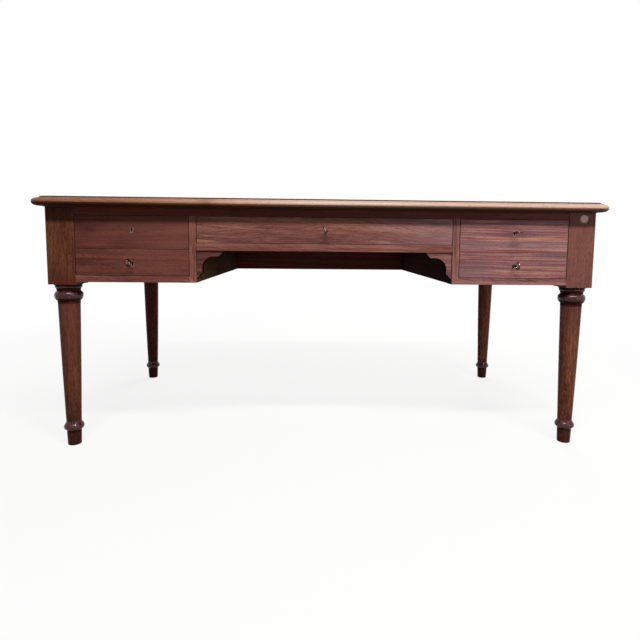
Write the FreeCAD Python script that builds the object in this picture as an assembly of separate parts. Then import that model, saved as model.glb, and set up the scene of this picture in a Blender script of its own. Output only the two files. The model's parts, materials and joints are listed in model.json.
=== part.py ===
import FreeCAD, Part
import math
import os
from FreeCAD import Vector

os.makedirs("parts", exist_ok=True)

# A flat desk with five drawers on four turned legs, in millimetres.
# X runs along the desk, the drawers face -Y, and the legs stand on Z = 0.

# Overall
top_length = 1716.0
top_depth = 932.0
desk_height = 760.0

# Moulded top: a long round below the tip, an ovolo above it and a small step up to the flat
top_thickness = 28.0
top_overhang = 38.0
nose_height = 12.0
nose_run = 26.0
ovolo_run = 24.0
step_height = 2.5
corner_core = 24.0
tip_share = 0.5

# Square posts and turned legs
post_size = 82.0
post_arris = 2.0
flange_radius = 39.5
flange_height = 16.0
neck_radius = 33.5
neck_height = 4.0
torus_radius = 39.0
torus_rise = 12.0
torus_fall = 19.0
fillet_height = 8.0
fillet_step = 0.8
taper_top_radius = 30.6
taper_foot_radius = 20.6
foot_height = 46.0
foot_top_radius = 20.2
foot_bottom_radius = 18.6
foot_chamfer = 1.5
ring_radius = 27.8
ring_height = 18.0
cove_height = 11.0
cove_radius = 24.6
flat_turn_share = 1 / 16

# Rails, dividers and the heights of the openings
rail_rise = 8.0
lower_rail_height = 19.5
lower_opening = 78.5
upper_opening = 100.0
top_rail_height = 24.0
centre_opening = 80.0
centre_rail_height = 22.0
rail_depth = 60.0
kneehole_width = 768.0
divider_width = 20.0
blade_thickness = 16.0
tenon_length = 25.0
tenon_shoulder = 5.0
stub_share = 0.4

# Panels that close the sides, the back and the kneehole
panel_thickness = 20.0
panel_recess = 3.0
tongue_length = 8.0
tongue_thickness = 8.0
tongue_inset = 10.0

# Fretted brackets in the corners of the kneehole
bracket_reach = 83.0
bracket_foot = 17.0
bracket_flat = 14.0
bracket_thickness = 20.0
bracket_recess = 4.0

# Runners under the drawers, guides beside them, kickers above and stops behind the fronts
runner_width = 30.0
guide_width = 20.0
guide_height = 20.0
stop_width = 30.0
stop_depth = 20.0
stop_height = 6.0
stop_inset = 70.0

# Drawers
drawer_room = 53.0
front_thickness = 24.0
lip_thickness = 11.0
front_gap = 0.8
front_arris = 1.2
blade_clearance = 0.5
running_gap = 0.3
headroom = 3.0
side_thickness = 11.0
bottom_thickness = 7.0
bottom_raise = 8.0
groove_depth = 5.0
tail_length = 13.0
tail_pitch = 27.0
tail_flare = 2.0
tail_gap = 7.0

# Locks, keyhole liners, bolts and keys
key_drop = 38.5
lock_width = 44.0
lock_below = 14.0
lock_wall = 1.5
bolt_width = 24.0
bolt_thickness = 4.0
bolt_throw = 8.0
bolt_clearance = 0.5
keyhole_radius = 3.0
slot_width = 3.6
slot_drop = 10.2
liner_rim = 2.6
liner_depth = 3.0
liner_proud = 0.4
stem_radius = 2.75
stem_out = 22.0
bow_radius = 13.0
bow_hole_radius = 8.6
bow_thickness = 3.2
bit_radius = 9.4
bit_thickness = 2.6
bit_length = 5.0
bit_clearance = 0.6

# Blank round disc on the right front post
disc_radius = 12.5
disc_thickness = 1.2
disc_drop = 20.0
disc_offset = 4.0

overrun = 5.0

# The plan, with the origin under the middle of the whole desk, keys included
key_proud = stem_out + 2 * bow_radius
case_length = top_length - 2 * top_overhang
case_depth = top_depth - 2 * top_overhang
front_reach = max(top_overhang, key_proud)
case_front = front_reach - (front_reach + case_depth + top_overhang) / 2
case_back = case_front + case_depth
case_right = case_length / 2
post_inner = case_right - post_size
panel_inner = case_right - panel_recess - panel_thickness
back_inner = case_back - panel_recess - panel_thickness
rail_back = case_front + rail_depth
knee_side = kneehole_width / 2
pedestal_side = knee_side + divider_width
stub_length = divider_width * stub_share

# The levels, down from the top
top_underside = desk_height - top_thickness
drawer_stack = lower_rail_height + lower_opening + upper_opening + top_rail_height
rail_foot = top_underside - drawer_stack
leg_height = rail_foot - rail_rise
lower_floor = rail_foot + lower_rail_height
joint_level = lower_floor + lower_opening
top_rail_foot = top_underside - top_rail_height
centre_floor = top_rail_foot - centre_opening
centre_rail_foot = centre_floor - centre_rail_height
blade_foot = joint_level - blade_thickness / 2
blade_top = blade_foot + blade_thickness
blade_front = case_front + lip_thickness + blade_clearance
front_back = case_front + front_thickness


def block(x0, x1, y0, y1, z0, z1):
    """A board between six planes, given in any order."""
    xs, ys, zs = sorted((x0, x1)), sorted((y0, y1)), sorted((z0, z1))
    corner = Vector(xs[0], ys[0], zs[0])
    return Part.makeBox(xs[1] - xs[0], ys[1] - ys[0], zs[1] - zs[0], corner)


def joined(solids):
    """One solid from touching ones."""
    return solids[0].multiFuse(solids[1:]).removeSplitter()


def mirrored(shape):
    """The same piece on the other side of the desk."""
    return shape.mirror(Vector(0, 0, 0), Vector(1, 0, 0))


def line(a, b):
    return Part.LineSegment(a, b).toShape()


def arc(a, b, centre):
    """The short arc from a to b about a centre."""
    radius = (a - centre).Length
    middle = (a - centre) + (b - centre)
    middle = centre + middle * (radius / middle.Length)
    return Part.Arc(a, middle, b).toShape()


def quarter(a, corner, b):
    """A quarter oval from a to b inside their corner, as a slow arc and a quick one at the tip."""
    far, near = (a, b) if (a - corner).Length > (b - corner).Length else (b, a)
    long, short = (far - corner).Length, (near - corner).Length
    quick = short * tip_share
    slow = ((long - quick) ** 2 + short ** 2 - quick ** 2) / (2 * (short - quick))
    quick_centre = near + (far - corner) * (quick / long)
    slow_centre = far + (near - corner) * (slow / short)
    between = quick_centre - slow_centre
    meet = slow_centre + between * (slow / between.Length)
    edges = [arc(far, meet, slow_centre), arc(meet, near, quick_centre)]
    return edges if far is a else edges[::-1]


def swell(a, b, standing):
    """Points after a on an arc of the turning to b, in short flats, upright at the end named."""
    other = b if standing is a else a
    across, along = other.x - standing.x, other.z - standing.z
    radius = (across ** 2 + along ** 2) / (2 * abs(across))
    centre = standing + Vector(math.copysign(radius, across), 0, 0)
    start = math.atan2(a.z - centre.z, a.x - centre.x)
    turn = math.remainder(math.atan2(b.z - centre.z, b.x - centre.x) - start, 2 * math.pi)
    flats = math.ceil(abs(turn) / (2 * math.pi * flat_turn_share))
    angles = [start + turn * i / flats for i in range(1, flats + 1)]
    return [centre + Vector(math.cos(t), 0, math.sin(t)) * radius for t in angles]


def outline(points):
    """A closed straight-sided face through the points."""
    return Part.Face(Part.makePolygon(points + [points[0]]))


def top_section(origin, outward):
    """Half section of the top, from a corner's centre line out to the tip of the moulding."""
    reach = corner_core + max(nose_run, ovolo_run)
    tip = top_underside + nose_height
    step = desk_height - step_height

    def at(run, level):
        return origin + outward * run + Vector(0, 0, level)

    edges = [line(at(0, top_underside), at(reach - nose_run, top_underside))]
    edges += quarter(at(reach - nose_run, top_underside), at(reach, top_underside), at(reach, tip))
    edges += quarter(at(reach, tip), at(reach, step), at(reach - ovolo_run, step))
    edges += [
        line(at(reach - ovolo_run, step), at(reach - ovolo_run, desk_height)),
        line(at(reach - ovolo_run, desk_height), at(0, desk_height)),
        line(at(0, desk_height), at(0, top_underside)),
    ]
    return Part.Face(Part.Wire(edges)), reach


def desk_top():
    """The slab: a plain middle, the moulding run along four sides and turned at four corners."""
    outward = Vector(1, 0, 0)
    section, reach = top_section(Vector(0, 0, 0), outward)
    half_x = top_length / 2 - reach
    half_y = top_depth / 2 - reach
    middle_y = (case_front + case_back) / 2
    solids = [block(-half_x, half_x, middle_y - half_y, middle_y + half_y, top_underside, desk_height)]
    side = section.extrude(Vector(0, 2 * half_y, 0))
    end = section.extrude(Vector(0, 2 * half_x, 0))
    corner = section.revolve(Vector(0, 0, 0), Vector(0, 0, 1), 90)
    for turn in range(4):
        angle = 90 * turn
        strip = (end if turn % 2 else side).copy()
        turned = corner.copy()
        centre_x = half_x if turn in (0, 3) else -half_x
        centre_y = half_y if turn in (0, 1) else -half_y
        start_x = half_x if turn in (0, 1) else -half_x
        start_y = -half_y if turn in (0, 3) else half_y
        strip.rotate(Vector(0, 0, 0), Vector(0, 0, 1), angle)
        strip.translate(Vector(start_x, start_y + middle_y, 0))
        turned.rotate(Vector(0, 0, 0), Vector(0, 0, 1), angle)
        turned.translate(Vector(centre_x, centre_y + middle_y, 0))
        solids += [strip, turned]
    return joined(solids)


def turned_leg():
    """The turning below the post, about the Z axis: cove, torus, fillet, long taper, ring and foot."""

    def at(radius, level):
        return Vector(radius, 0, level)

    flange = at(flange_radius, leg_height)
    neck_top = at(neck_radius, leg_height - flange_height)
    neck_foot = at(neck_radius, neck_top.z - neck_height)
    torus = at(torus_radius, neck_foot.z - torus_rise)
    fillet_radius = taper_top_radius + fillet_step
    fillet_top = at(fillet_radius, torus.z - torus_fall)
    fillet_foot = at(fillet_radius, fillet_top.z - fillet_height)
    taper_top = at(taper_top_radius, fillet_foot.z)
    ring_top = at(cove_radius, foot_height + ring_height)
    taper_foot = at(taper_foot_radius, ring_top.z + cove_height)
    ring = at(ring_radius, foot_height + ring_height / 2)
    foot_top = at(foot_top_radius, foot_height)
    foot_side = at(foot_bottom_radius, foot_chamfer)
    foot_sole = at(foot_bottom_radius - foot_chamfer, 0)
    points = [at(0, leg_height), flange] + swell(flange, neck_top, neck_top)
    points += [neck_foot] + swell(neck_foot, torus, torus) + swell(torus, fillet_top, torus)
    points += [fillet_foot, taper_top, taper_foot] + swell(taper_foot, ring_top, taper_foot)
    points += swell(ring_top, ring, ring) + swell(ring, foot_top, ring)
    points += [foot_side, foot_sole, at(0, 0)]
    return outline(points).revolve(Vector(0, 0, 0), Vector(0, 0, 1), 360)


def leg_blank(x, y):
    """A square post with softened corners over its turning, before the mortises are cut."""
    half = post_size / 2
    post = block(-half, half, -half, half, leg_height, top_underside)
    upright = [e for e in post.Edges if abs(e.tangentAt(e.FirstParameter).z) > 0.5]
    post = post.makeFillet(post_arris, upright)
    leg = joined([post, turned_leg()])
    leg.translate(Vector(x, y, 0))
    return leg


def rail(x0, x1, y0, y1, z0, z1, tenon0, tenon1):
    """A rail along X with a shouldered tenon at each end."""
    inset = tenon_shoulder
    tenon = block(x0 - tenon0, x1 + tenon1, y0 + inset, y1 - inset, z0 + inset, z1 - inset)
    return joined([block(x0, x1, y0, y1, z0, z1), tenon])


def front_top_rail():
    return rail(-post_inner, post_inner, case_front, rail_back, top_rail_foot, top_underside,
                tenon_length, tenon_length)


def lower_rail():
    return rail(pedestal_side, post_inner, case_front, rail_back, rail_foot, lower_floor,
                stub_length, tenon_length)


def drawer_blade():
    return rail(pedestal_side, post_inner, blade_front, rail_back, blade_foot, blade_top,
                stub_length, tenon_length)


def centre_rail():
    return rail(-knee_side, knee_side, case_front, rail_back, centre_rail_foot, centre_floor,
                stub_length, stub_length)


def divider():
    """Upright between a pair of drawers and the kneehole, tenoned up into the top rail."""
    inset = tenon_shoulder
    post = block(knee_side, pedestal_side, case_front, rail_back, rail_foot, top_rail_foot)
    tenon = block(knee_side + inset, pedestal_side - inset, case_front + inset, rail_back - inset,
                  top_rail_foot, top_rail_foot + top_rail_height / 2)
    return joined([post, tenon])


def side_panel():
    """Outer side board, tongued into the front and back posts."""
    y0, y1 = case_front + post_size, case_back - post_size
    outer = case_right - panel_recess
    middle = outer - panel_thickness / 2
    board = block(panel_inner, outer, y0, y1, rail_foot, top_underside)
    tongue = block(middle - tongue_thickness / 2, middle + tongue_thickness / 2,
                   y0 - tongue_length, y1 + tongue_length,
                   rail_foot + tongue_inset, top_underside - tongue_inset)
    return joined([board, tongue])


def back_panel():
    """Back board between the back posts, tongued into both."""
    middle = back_inner + panel_thickness / 2
    board = block(-post_inner, post_inner, back_inner, back_inner + panel_thickness,
                  rail_foot, top_underside)
    tongue = block(-post_inner - tongue_length, post_inner + tongue_length,
                   middle - tongue_thickness / 2, middle + tongue_thickness / 2,
                   rail_foot + tongue_inset, top_underside - tongue_inset)
    return joined([board, tongue])


def partition():
    """Board between a stack of drawers and the kneehole, tongued into divider and back."""
    middle = knee_side + divider_width / 2
    board = block(knee_side, pedestal_side, rail_back, back_inner, rail_foot, top_underside)
    tongue = block(middle - tongue_thickness / 2, middle + tongue_thickness / 2,
                   rail_back - tenon_shoulder, back_inner + tongue_length,
                   rail_foot + tongue_inset, top_rail_foot - tongue_inset)
    return joined([board, tongue])


def bracket():
    """Fretted corner bracket: mitred toes, short flats and a hollow quarter round between them."""
    y = case_front + bracket_recess

    def at(across, down):
        return Vector(knee_side - across, y, centre_rail_foot - down)

    toe = bracket_reach - bracket_foot
    bend = toe - bracket_flat
    edges = [
        line(at(0, 0), at(bracket_reach, 0)),
        line(at(bracket_reach, 0), at(toe, bracket_foot)),
        line(at(toe, bracket_foot), at(bend, bracket_foot)),
        arc(at(bend, bracket_foot), at(bracket_foot, bend), at(bend, bend)),
        line(at(bracket_foot, bend), at(bracket_foot, toe)),
        line(at(bracket_foot, toe), at(0, bracket_reach)),
        line(at(0, bracket_reach), at(0, 0)),
    ]
    return Part.Face(Part.Wire(edges)).extrude(Vector(0, bracket_thickness, 0))


def outer_board(front, foot, top):
    """Board from the side panel in under a drawer's outer side, notched round both posts."""
    strip = block(post_inner - runner_width, post_inner, front, back_inner, foot, top)
    wide = block(post_inner, panel_inner, case_front + post_size, case_back - post_size, foot, top)
    return joined([strip, wide])


def inner_board(front, foot, top):
    """Board fixed to a partition on the side of the drawers."""
    return block(pedestal_side, pedestal_side + runner_width, front, back_inner, foot, top)


def centre_board(foot, top):
    """Board fixed to a partition on the side of the kneehole."""
    return block(knee_side - runner_width, knee_side, rail_back, back_inner, foot, top)


def drawer_runners():
    lower_foot = lower_floor - blade_thickness
    right = [
        outer_board(rail_back, lower_foot, lower_floor),
        inner_board(rail_back, lower_foot, lower_floor),
        outer_board(rail_back, blade_foot, blade_top),
        inner_board(rail_back, blade_foot, blade_top),
        centre_board(centre_floor - blade_thickness, centre_floor),
    ]
    return right + [mirrored(s) for s in right]


def drawer_guides():
    right = []
    for floor in (lower_floor, blade_top):
        right.append(block(post_inner, post_inner + guide_width, case_front + post_size,
                           case_back - post_size, floor, floor + guide_height))
    return right + [mirrored(s) for s in right]


def drawer_kickers():
    right = [
        outer_board(rail_back, top_rail_foot, top_underside),
        inner_board(rail_back, top_rail_foot, top_underside),
        centre_board(top_rail_foot, top_underside),
    ]
    return right + [mirrored(s) for s in right]


def drawer_stops():
    """Small blocks on the rails that the backs of the drawer fronts meet."""
    right = []
    places = [
        (pedestal_side + stop_inset, lower_floor),
        (post_inner - stop_inset, lower_floor),
        (pedestal_side + stop_inset, blade_top),
        (post_inner - stop_inset, blade_top),
        (knee_side - stop_inset, centre_floor),
    ]
    for x, floor in places:
        right.append(block(x - stop_width / 2, x + stop_width / 2, front_back,
                           front_back + stop_depth, floor, floor + stop_height))
    return right + [mirrored(s) for s in right]


def post_disc():
    centre = Vector(case_right - post_size / 2 + disc_offset, case_front, top_underside - disc_drop)
    return Part.makeCylinder(disc_radius, disc_thickness, centre, Vector(0, -1, 0))


def keyhole(x, z, radius, half_width, drop, y0, y1):
    """Keyhole prism from y0 to y1: a round head over a straight slot."""
    head = Part.makeCylinder(radius, y1 - y0, Vector(x, y0, z), Vector(0, 1, 0))
    slot = block(x - half_width, x + half_width, y0, y1, z - drop, z)
    return joined([head, slot])


def tails(side_x, y_root, y_tip, z0, z1):
    """Dovetails along one end of a drawer side, wider at their tips."""
    count = max(2, int(round((z1 - z0) / tail_pitch)))
    pitch = (z1 - z0) / count
    half = (pitch - tail_gap) / 2
    made = []
    for i in range(count):
        middle = z0 + pitch * (i + 0.5)
        points = [
            Vector(side_x, y_root, middle - half + tail_flare),
            Vector(side_x, y_tip, middle - half),
            Vector(side_x, y_tip, middle + half),
            Vector(side_x, y_root, middle + half - tail_flare),
        ]
        made.append(outline(points).extrude(Vector(side_thickness, 0, 0)))
    return made


class Drawer:
    """Sizes of one drawer, worked out from the opening that it runs in."""

    def __init__(self, middle, width, floor, ceiling, face_foot, face_top, turned):
        self.middle = middle
        self.half = width / 2 - front_gap
        self.body_foot = floor + front_gap
        self.body_top = ceiling - front_gap
        self.face_foot = face_foot
        self.face_top = face_top
        self.side_foot = floor + running_gap
        self.side_top = ceiling - headroom
        self.key_level = face_top - key_drop
        self.turned = turned
        self.bottom_level = self.side_foot + bottom_raise
        self.back_end = back_inner - drawer_room
        self.inner = self.half - side_thickness

    def bottom(self):
        reach = self.inner + groove_depth
        return block(self.middle - reach, self.middle + reach, front_back - groove_depth,
                     self.back_end, self.bottom_level, self.bottom_level + bottom_thickness)

    def joints(self, y_root, y_tip, z0, z1):
        """Tails of both sides at one end."""
        left = tails(self.middle - self.half, y_root, y_tip, z0, z1)
        right = tails(self.middle + self.inner, y_root, y_tip, z0, z1)
        return left, right

    def front_joints(self):
        return self.joints(front_back, front_back - tail_length, self.side_foot, self.side_top)

    def back_joints(self):
        root = self.back_end - side_thickness
        return self.joints(root, self.back_end, self.bottom_level + bottom_thickness, self.side_top)

    def sides(self):
        made = []
        root = self.back_end - side_thickness
        ends = zip((self.middle - self.half, self.middle + self.inner),
                   zip(self.front_joints(), self.back_joints()))
        for x, (front_tails, back_tails) in ends:
            board = block(x, x + side_thickness, front_back, root, self.side_foot, self.side_top)
            made.append(joined([board] + front_tails + back_tails).cut(self.bottom()))
        return made

    def back(self):
        board = block(self.middle - self.half, self.middle + self.half,
                      self.back_end - side_thickness, self.back_end,
                      self.bottom_level + bottom_thickness, self.side_top)
        left, right = self.back_joints()
        return board.cut(left + right)

    def lock_box(self, grow):
        """The lock case's envelope, let into the back of the front from its top edge."""
        half = lock_width / 2 - grow
        return block(self.middle - half, self.middle + half, case_front + lip_thickness + grow,
                     front_back - grow, self.key_level - lock_below + grow, self.body_top - grow)

    def front(self):
        """Drawer front: full thickness between the rails, with a lip over a hidden blade."""
        x0, x1 = self.middle - self.half, self.middle + self.half
        face = block(x0, x1, case_front, case_front + lip_thickness, self.face_foot, self.face_top)
        face_edges = [e for e in face.Edges if e.BoundBox.YMax < case_front + lip_thickness / 2]
        face = face.makeChamfer(front_arris, face_edges)
        body = block(x0, x1, case_front + lip_thickness, front_back, self.body_foot, self.body_top)
        board = joined([face, body])
        left, right = self.front_joints()
        hole = keyhole(self.middle, self.key_level, keyhole_radius, slot_width / 2, slot_drop,
                       case_front - overrun, case_front + lip_thickness + overrun)
        return board.cut(left + right + [self.bottom(), self.lock_box(0), hole, self.liner_blank(0)])

    def liner_blank(self, proud):
        rim = liner_rim
        return keyhole(self.middle, self.key_level, keyhole_radius + rim, slot_width / 2 + rim,
                       slot_drop + rim, case_front - proud, case_front + liner_depth)

    def liner(self):
        """Keyhole liner let into the face, a hair proud of it."""
        hole = keyhole(self.middle, self.key_level, keyhole_radius, slot_width / 2, slot_drop,
                       case_front - overrun, case_front + liner_depth + overrun)
        return self.liner_blank(liner_proud).cut(hole)

    def bolt_bar(self, grow, rise):
        """The bolt, clear above the turning bit, which slides straight up out of the lock."""
        middle_y = case_front + lip_thickness + (front_thickness - lip_thickness) / 2
        half = bolt_width / 2 + grow
        thick = bolt_thickness / 2 + grow
        foot = self.key_level + bit_radius + bit_clearance
        return block(self.middle - half, self.middle + half, middle_y - thick, middle_y + thick,
                     foot - grow, self.body_top + rise)

    def lock_case(self):
        """Hollow case, open for the bolt at the top and for the key in front and behind."""
        case = self.lock_box(0).cut(self.lock_box(lock_wall))
        hole = keyhole(self.middle, self.key_level, keyhole_radius, slot_width / 2, slot_drop,
                       case_front, case_front + lip_thickness + lock_wall * 2)
        return case.cut([hole, self.bolt_bar(bolt_clearance, overrun)])

    def lock(self):
        return [self.lock_case(), self.liner()]

    def bolt(self):
        return self.bolt_bar(0, 0)

    def bolt_mortise(self):
        """Pocket in the rail above that takes the bolt at its full throw."""
        return self.bolt_bar(bolt_clearance, bolt_throw + bolt_clearance)

    def key(self):
        """Key in the lock: bow, stem and bit, turned about its stem."""
        level = self.key_level
        outward = Vector(0, -1, 0)
        stem_end = front_back - lock_wall - bit_clearance
        bow_y = case_front - stem_out - bow_radius
        stem = Part.makeCylinder(stem_radius, stem_end - bow_y - bow_hole_radius,
                                 Vector(self.middle, stem_end, level), outward)
        left = Vector(self.middle - bow_thickness / 2, bow_y, level)
        along = Vector(1, 0, 0)
        bow = Part.makeCylinder(bow_radius, bow_thickness, left, along)
        bow = bow.cut(Part.makeCylinder(bow_hole_radius, bow_thickness, left, along))
        bit = block(self.middle - bit_thickness / 2, self.middle + bit_thickness / 2,
                    stem_end - bit_length - bit_clearance, stem_end - bit_clearance,
                    level - bit_radius, level)
        made = joined([stem, bow, bit])
        made.rotate(Vector(self.middle, case_front, level), Vector(0, 1, 0), self.turned)
        return made


pedestal_width = post_inner - pedestal_side
pedestal_middle = (post_inner + pedestal_side) / 2


def upper_drawer(side, turned):
    return Drawer(side * pedestal_middle, pedestal_width, blade_top, top_rail_foot,
                  joint_level + front_gap / 2, top_rail_foot - front_gap, turned)


def lower_drawer(side, turned):
    return Drawer(side * pedestal_middle, pedestal_width, lower_floor, blade_foot,
                  lower_floor + front_gap, joint_level - front_gap / 2, turned)


def centre_drawer(turned):
    return Drawer(0, kneehole_width, centre_floor, top_rail_foot,
                  centre_floor + front_gap, top_rail_foot - front_gap, turned)


# The keys stand as they were left: upright, aslant in the middle and level at the top right
drawers = {
    "left_upper": upper_drawer(-1, 0),
    "left_lower": lower_drawer(-1, 0),
    "centre": centre_drawer(-30),
    "right_upper": upper_drawer(1, 90),
    "right_lower": lower_drawer(1, 0),
}
keyless = ("left_upper",)

pieces = {}


def add(name, shapes):
    pieces[name] = shapes if isinstance(shapes, list) else [shapes]


add("desk_top", desk_top())

top_rail = front_top_rail()
lower_rails = {"right": lower_rail(), "left": mirrored(lower_rail())}
blades = {"right": drawer_blade(), "left": mirrored(drawer_blade())}
dividers = {"right": divider(), "left": mirrored(divider())}
side_panels = {"right": side_panel(), "left": mirrored(side_panel())}
partitions = {"right": partition(), "left": mirrored(partition())}
middle_rail = centre_rail()
back = back_panel()

mortises = [drawer.bolt_mortise() for drawer in drawers.values()]
top_rail_cut = top_rail.cut([dividers["left"], dividers["right"]] + mortises)
add("front_top_rail", top_rail_cut)
add("centre_rail", middle_rail)
add("back_panel", back.cut([partitions["left"], partitions["right"]]))

leg_x = case_right - post_size / 2
for side, sign in (("left", -1), ("right", 1)):
    tenons = [top_rail, lower_rails[side], blades[side], side_panels[side], back]
    for end, y in (("front", case_front + post_size / 2), ("back", case_back - post_size / 2)):
        add("leg_" + end + "_" + side, leg_blank(sign * leg_x, y).cut(tenons))
    add("lower_rail_" + side, lower_rails[side])
    add("blade_" + side, blades[side].cut(mortises))
    add("divider_" + side, dividers[side].cut(
        [lower_rails[side], blades[side], middle_rail, partitions[side]]))
    add("side_panel_" + side, side_panels[side])
    add("partition_" + side, partitions[side])
    add("bracket_" + side, bracket() if sign > 0 else mirrored(bracket()))

add("drawer_runners", drawer_runners())
add("drawer_guides", drawer_guides())
add("drawer_kickers", drawer_kickers())
add("drawer_stops", drawer_stops())
add("post_disc", post_disc())

for name, drawer in drawers.items():
    add(name + "_front", drawer.front())
    add(name + "_sides", drawer.sides())
    add(name + "_back", drawer.back())
    add(name + "_bottom", drawer.bottom())
    if name in keyless:
        add(name + "_lock", drawer.lock() + [drawer.bolt()])
    else:
        add(name + "_lock", drawer.lock())
        add(name + "_bolt", drawer.bolt())
        add(name + "_key", drawer.key())

for name, shapes in pieces.items():
    solids = [solid for shape in shapes for solid in shape.Solids]
    shape = solids[0] if len(solids) == 1 else Part.makeCompound(solids)
    shape.exportStep("parts/" + name + ".step")
    print(name, len(solids), "solids", shape.isValid(), round(shape.Volume / 1000, 2), "cm3")
print(len(pieces), "nodes")
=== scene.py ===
import json
import math
import random

import bpy
from mathutils import Matrix, Vector

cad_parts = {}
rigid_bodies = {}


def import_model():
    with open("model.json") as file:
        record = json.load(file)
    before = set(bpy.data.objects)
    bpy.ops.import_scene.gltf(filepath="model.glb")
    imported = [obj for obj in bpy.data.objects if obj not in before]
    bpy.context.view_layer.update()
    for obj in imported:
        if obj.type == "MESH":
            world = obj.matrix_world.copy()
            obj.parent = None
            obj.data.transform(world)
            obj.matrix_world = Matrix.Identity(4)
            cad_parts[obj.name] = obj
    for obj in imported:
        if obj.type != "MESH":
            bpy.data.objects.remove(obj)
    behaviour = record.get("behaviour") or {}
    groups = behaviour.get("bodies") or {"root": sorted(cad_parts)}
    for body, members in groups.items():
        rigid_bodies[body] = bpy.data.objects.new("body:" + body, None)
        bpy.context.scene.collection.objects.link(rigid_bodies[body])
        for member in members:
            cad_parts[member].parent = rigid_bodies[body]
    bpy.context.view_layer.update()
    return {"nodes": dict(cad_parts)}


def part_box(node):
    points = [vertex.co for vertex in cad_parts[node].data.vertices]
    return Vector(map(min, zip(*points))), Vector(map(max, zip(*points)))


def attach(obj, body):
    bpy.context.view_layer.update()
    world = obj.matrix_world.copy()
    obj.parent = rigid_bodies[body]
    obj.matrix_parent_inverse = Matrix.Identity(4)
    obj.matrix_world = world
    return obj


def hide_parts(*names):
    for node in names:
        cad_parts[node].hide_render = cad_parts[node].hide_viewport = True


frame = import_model()
bpy.ops.object.select_all(action="DESELECT")

# A flat desk in red-brown walnut: moulded top, turned legs, five drawers, a bracketed kneehole.
# Lengths in the dictionaries are millimetres, the scene is in metres.


def metres(length):
    return length / 1000


def millimetres(length):
    return length * 1000


def selectOnly(piece):
    bpy.ops.object.select_all(action="DESELECT")
    piece.select_set(True)
    bpy.context.view_layer.objects.active = piece


def linearColour(hexCode):
    channels = [int(hexCode[i:i + 2], 16) / 255 for i in (1, 3, 5)]
    return [c / 12.92 if c <= 0.04045 else ((c + 0.055) / 1.055) ** 2.4 for c in channels] + [1.0]


def addNode(material, kind, inputs=None, stops=None, **settings):
    # inputs: socket name or number to a value or a node's output; stops: (place, hex) of a ramp
    tree = material.node_tree
    made = tree.nodes.new("ShaderNode" + kind)
    for key, value in settings.items():
        setattr(made, key, value)
    for socket, value in (inputs or {}).items():
        if isinstance(value, bpy.types.NodeSocket):
            tree.links.new(value, made.inputs[socket])
        else:
            made.inputs[socket].default_value = value
    if stops:
        ramp = made.color_ramp.elements
        while len(ramp) < len(stops):
            ramp.new(0.5)
        for element, (place, hexCode) in zip(ramp, stops):
            element.position = place
            element.color = linearColour(hexCode)
    return made.outputs


def span(side, ends):
    # the two settings that give a MapRange node the ends of its "From" or "To" side
    return {side + " Min": ends[0], side + " Max": ends[1]}


def newMaterial(name):
    material = bpy.data.materials.new(name)
    material.use_nodes = True
    material.node_tree.nodes.clear()
    return material


# The camera, fitted to the photograph: turn to the right, tilt down and roll are in degrees
photoCamera = {
    "place": (-42.8, -1906.6, 630.8),
    "turn": 2.0747,
    "tilt": 5.4526,
    "roll": 0.5531,
    "focalPixels": 494.367,
    "axisPixel": (328.82, 290.66),  # where the lens axis meets the picture, from its top left
    "picturePixels": 640,
    "sensorWidth": 36,
}


def addCamera():
    settings = photoCamera
    size = settings["picturePixels"]
    bpy.ops.object.camera_add()
    camera = bpy.context.object
    camera.name = "photoCamera"
    camera.data.sensor_width = settings["sensorWidth"]
    camera.data.lens = settings["focalPixels"] * settings["sensorWidth"] / size
    camera.data.shift_x = 0.5 - settings["axisPixel"][0] / size
    camera.data.shift_y = settings["axisPixel"][1] / size - 0.5
    facing = Matrix.Rotation(math.radians(-settings["turn"]), 4, "Z")
    facing = facing @ Matrix.Rotation(math.radians(90 - settings["tilt"]), 4, "X")
    facing = facing @ Matrix.Rotation(math.radians(settings["roll"]), 4, "Z")
    camera.matrix_world = Matrix.Translation([metres(v) for v in settings["place"]]) @ facing
    bpy.context.scene.camera = camera


addCamera()
bpy.context.scene.view_settings.view_transform = "Standard"

# Light: a wide low strip high in front, a broad weak panel low on the right, pale surroundings
lamps = {
    "keyLamp": {"place": (420, -2230, 3320), "aim": (420, -400, 620),
                "size": (2600, 320), "power": 146},
    "sidePanel": {"place": (2050, -2300, 900), "aim": (500, -420, 620),
                  "size": (1500, 1500), "power": 14},
    "rearPanel": {"place": (900, 2700, 2300), "aim": (200, 300, 600),
                  "size": (2200, 2200), "power": 80,
                  "mirrored": False},  # it lifts the back without a white glare on the top
}
surroundings = {
    "fill": "#FFFFFF",
    "fillStrength": 0.06,
    "shown": "#FFFFFF",  # what the camera, gloss and glass see
    "floor": "#EDEBE8",
    "floorBounce": "#6A6662",  # what the floor throws back on the desk
    "floorLift": (0.84, 1.0),  # share of plain white that the camera sees, near and far off
    "liftReach": (900, 3200),
    "floorSize": 14000,
}


def addLamp(name, lamp):
    place, aim = (metres(Vector(lamp[key])) for key in ("place", "aim"))
    bpy.ops.object.light_add(type="AREA", location=place)
    light = bpy.context.object
    light.name = name
    light.rotation_euler = (place - aim).to_track_quat("Z", "Y").to_euler()
    light.data.shape = "RECTANGLE"
    light.data.size, light.data.size_y = (metres(v) for v in lamp["size"])
    light.data.energy = lamp["power"]
    light.visible_glossy = lamp.get("mirrored", True)


def seenRays(material):
    # one where the camera, gloss or glass looks, nought where light is gathered
    rays = addNode(material, "LightPath")
    seen = addNode(material, "Math", {0: rays["Is Camera Ray"], 1: rays["Is Glossy Ray"]},
                   operation="MAXIMUM")
    return addNode(material, "Math", {0: seen[0], 1: rays["Is Transmission Ray"]},
                   operation="MAXIMUM")[0]


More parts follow.
